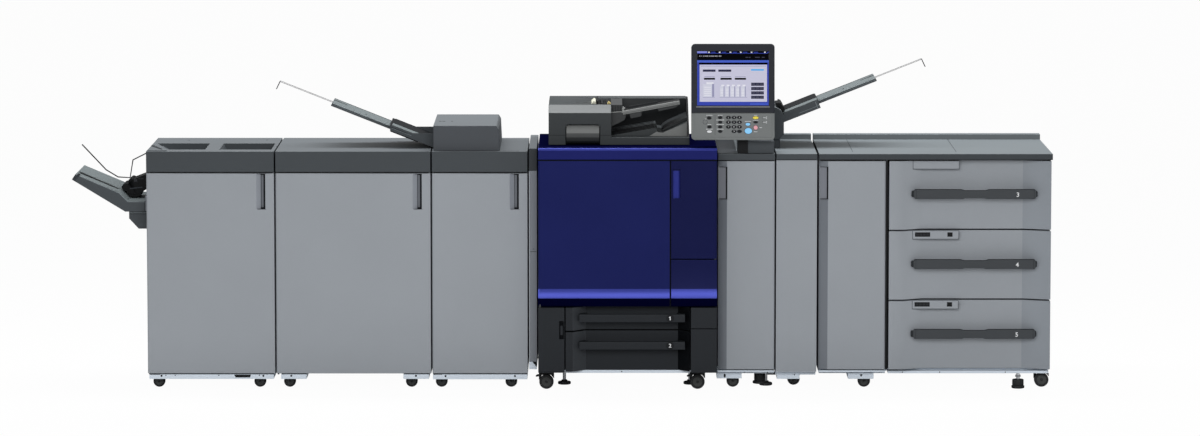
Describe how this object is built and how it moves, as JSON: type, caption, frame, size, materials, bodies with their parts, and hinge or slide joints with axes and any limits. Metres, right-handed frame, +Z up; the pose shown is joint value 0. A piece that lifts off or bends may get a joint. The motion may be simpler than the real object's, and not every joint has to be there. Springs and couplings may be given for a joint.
{
  "type": "digital production printer",
  "caption": "Docked printing line: print engine, document feeder, control panel, finishing units with trays, relay units and a paper feeder with drawers.",
  "frame": {"origin": "middle of the footprint's bounding box, on the floor", "axes": "+X to the right along the line as the operator sees it, +Y away from the operator into the machine, +Z up"},
  "size_m": [4.203, 0.839, 1.4898],
  "materials": {
    "panel_grey": "satin",
    "cap_grey": "satin moulded plastic",
    "tray_grey": "fine grain",
    "engine_blue": "satin",
    "engine_dark": "satin",
    "base_dark": "fine grain",
    "handle_dark": "fine grain",
    "black_plastic": "satin",
    "screen": "lit display",
    "key_grey": "satin",
    "rail_white": "satin",
    "steel": "brushed",
    "tub_grey": "satin",
    "caster_black": "moulded"
  },
  "bodies": {
    "line": {"finisher_housing": "panel_grey", "finisher_cap": "cap_grey", "exit_tray": "tray_grey", "exit_rollers": "black_plastic", "exit_wires": "black_plastic", "exit_box": "tray_grey", "folder_housing": "panel_grey", "folder_cap": "cap_grey", "inserter_housing": "panel_grey", "inserter_cap": "cap_grey", "cover_inserter_body": "cap_grey", "cover_inserter_tray": "tray_grey", "narrow_relay": "panel_grey", "engine_core": "engine_dark", "engine_top_cover": "engine_blue", "engine_lower_panel": "engine_blue", "engine_base": "base_dark", "engine_base_panels": "base_dark", "panel_stand": "cap_grey", "conveyor_housing": "panel_grey", "bridge_unit": "panel_grey", "top_boards": "cap_grey", "bypass_body": "cap_grey", "bypass_tray": "tray_grey", "feeder_side_housing": "panel_grey", "feeder_cabinet": "panel_grey", "hinge_pins": "steel", "base_rails": "rail_white", "casters": "caster_black", "levelling_feet": "caster_black"},
    "finisher_door": {"finisher_door": "panel_grey"},
    "folder_door": {"folder_door": "panel_grey"},
    "inserter_door": {"inserter_door": "panel_grey"},
    "engine_door": {"engine_door": "engine_blue"},
    "engine_small_door": {"engine_small_door": "engine_blue"},
    "conveyor_door": {"conveyor_door": "panel_grey"},
    "feeder_door": {"feeder_door": "panel_grey"},
    "drawer_1": {"drawer_1_front": "base_dark", "drawer_1_handle": "handle_dark", "drawer_1_tub": "tub_grey"},
    "drawer_2": {"drawer_2_front": "base_dark", "drawer_2_handle": "handle_dark", "drawer_2_tub": "tub_grey"},
    "drawer_3": {"drawer_3_front": "panel_grey", "drawer_3_handle": "handle_dark", "drawer_3_tub": "tub_grey"},
    "drawer_4": {"drawer_4_front": "panel_grey", "drawer_4_handle": "handle_dark", "drawer_4_tub": "tub_grey"},
    "drawer_5": {"drawer_5_front": "panel_grey", "drawer_5_handle": "handle_dark", "drawer_5_tub": "tub_grey"},
    "cover_inserter_extension": {"cover_inserter_extension": "tray_grey"},
    "bypass_extension": {"bypass_extension": "tray_grey"},
    "document_feeder": {"document_feeder_body": "cap_grey", "document_feeder_tray": "tray_grey"},
    "control_panel": {"panel_case": "black_plastic", "panel_screen": "screen", "panel_keys": "key_grey"}
  },
  "joints": [
    {"name": "finisher_door_hinge", "type": "hinge", "parent": "line", "child": "finisher_door", "pos_m": [-1.7655, -0.2975, 0.5], "axis": [0, 0, -1], "range_deg": [0, 90]},
    {"name": "folder_door_hinge", "type": "hinge", "parent": "line", "child": "folder_door", "pos_m": [-1.2135, -0.2975, 0.5], "axis": [0, 0, -1], "range_deg": [0, 90]},
    {"name": "inserter_door_hinge", "type": "hinge", "parent": "line", "child": "inserter_door", "pos_m": [-0.5445, -0.2975, 0.5], "axis": [0, 0, -1], "range_deg": [0, 90]},
    {"name": "engine_door_hinge", "type": "hinge", "parent": "line", "child": "engine_door", "pos_m": [-0.0895, -0.3975, 0.5], "axis": [0, 0, -1], "range_deg": [0, 90]},
    {"name": "engine_small_door_hinge", "type": "hinge", "parent": "line", "child": "engine_small_door", "pos_m": [0.6575, -0.3975, 0.5], "axis": [0, 0, 1], "range_deg": [0, 90]},
    {"name": "conveyor_door_hinge", "type": "hinge", "parent": "line", "child": "conveyor_door", "pos_m": [0.9065, -0.2975, 0.5], "axis": [0, 0, 1], "range_deg": [0, 90]},
    {"name": "feeder_door_hinge", "type": "hinge", "parent": "line", "child": "feeder_door", "pos_m": [1.3805, -0.2975, 0.5], "axis": [0, 0, 1], "range_deg": [0, 90]},
    {"name": "drawer_1_slide", "type": "slide", "parent": "line", "child": "drawer_1", "axis": [0, -1, 0], "range_m": [0, 0.38]},
    {"name": "drawer_2_slide", "type": "slide", "parent": "line", "child": "drawer_2", "axis": [0, -1, 0], "range_m": [0, 0.38]},
    {"name": "drawer_3_slide", "type": "slide", "parent": "line", "child": "drawer_3", "axis": [0, -1, 0], "range_m": [0, 0.48]},
    {"name": "drawer_4_slide", "type": "slide", "parent": "line", "child": "drawer_4", "axis": [0, -1, 0], "range_m": [0, 0.48]},
    {"name": "drawer_5_slide", "type": "slide", "parent": "line", "child": "drawer_5", "axis": [0, -1, 0], "range_m": [0, 0.48]},
    {"name": "cover_inserter_extension_slide", "type": "slide", "parent": "line", "child": "cover_inserter_extension", "axis": [0.9298, 0, -0.3681], "range_m": [0, 0.12]},
    {"name": "bypass_extension_slide", "type": "slide", "parent": "line", "child": "bypass_extension", "axis": [-0.9298, 0, -0.3681], "range_m": [0, 0.1]},
    {"name": "document_feeder_lid", "type": "hinge", "parent": "line", "child": "document_feeder", "pos_m": [0.2025, 0.2345, 1.066], "axis": [-1, 0, 0], "range_deg": [0, 60]},
    {"name": "control_panel_tilt", "type": "hinge", "parent": "line", "child": "control_panel", "pos_m": [0.7715, -0.28135, 1.15561], "axis": [-1, 0, 0], "range_deg": [0, 30]}
  ]
}
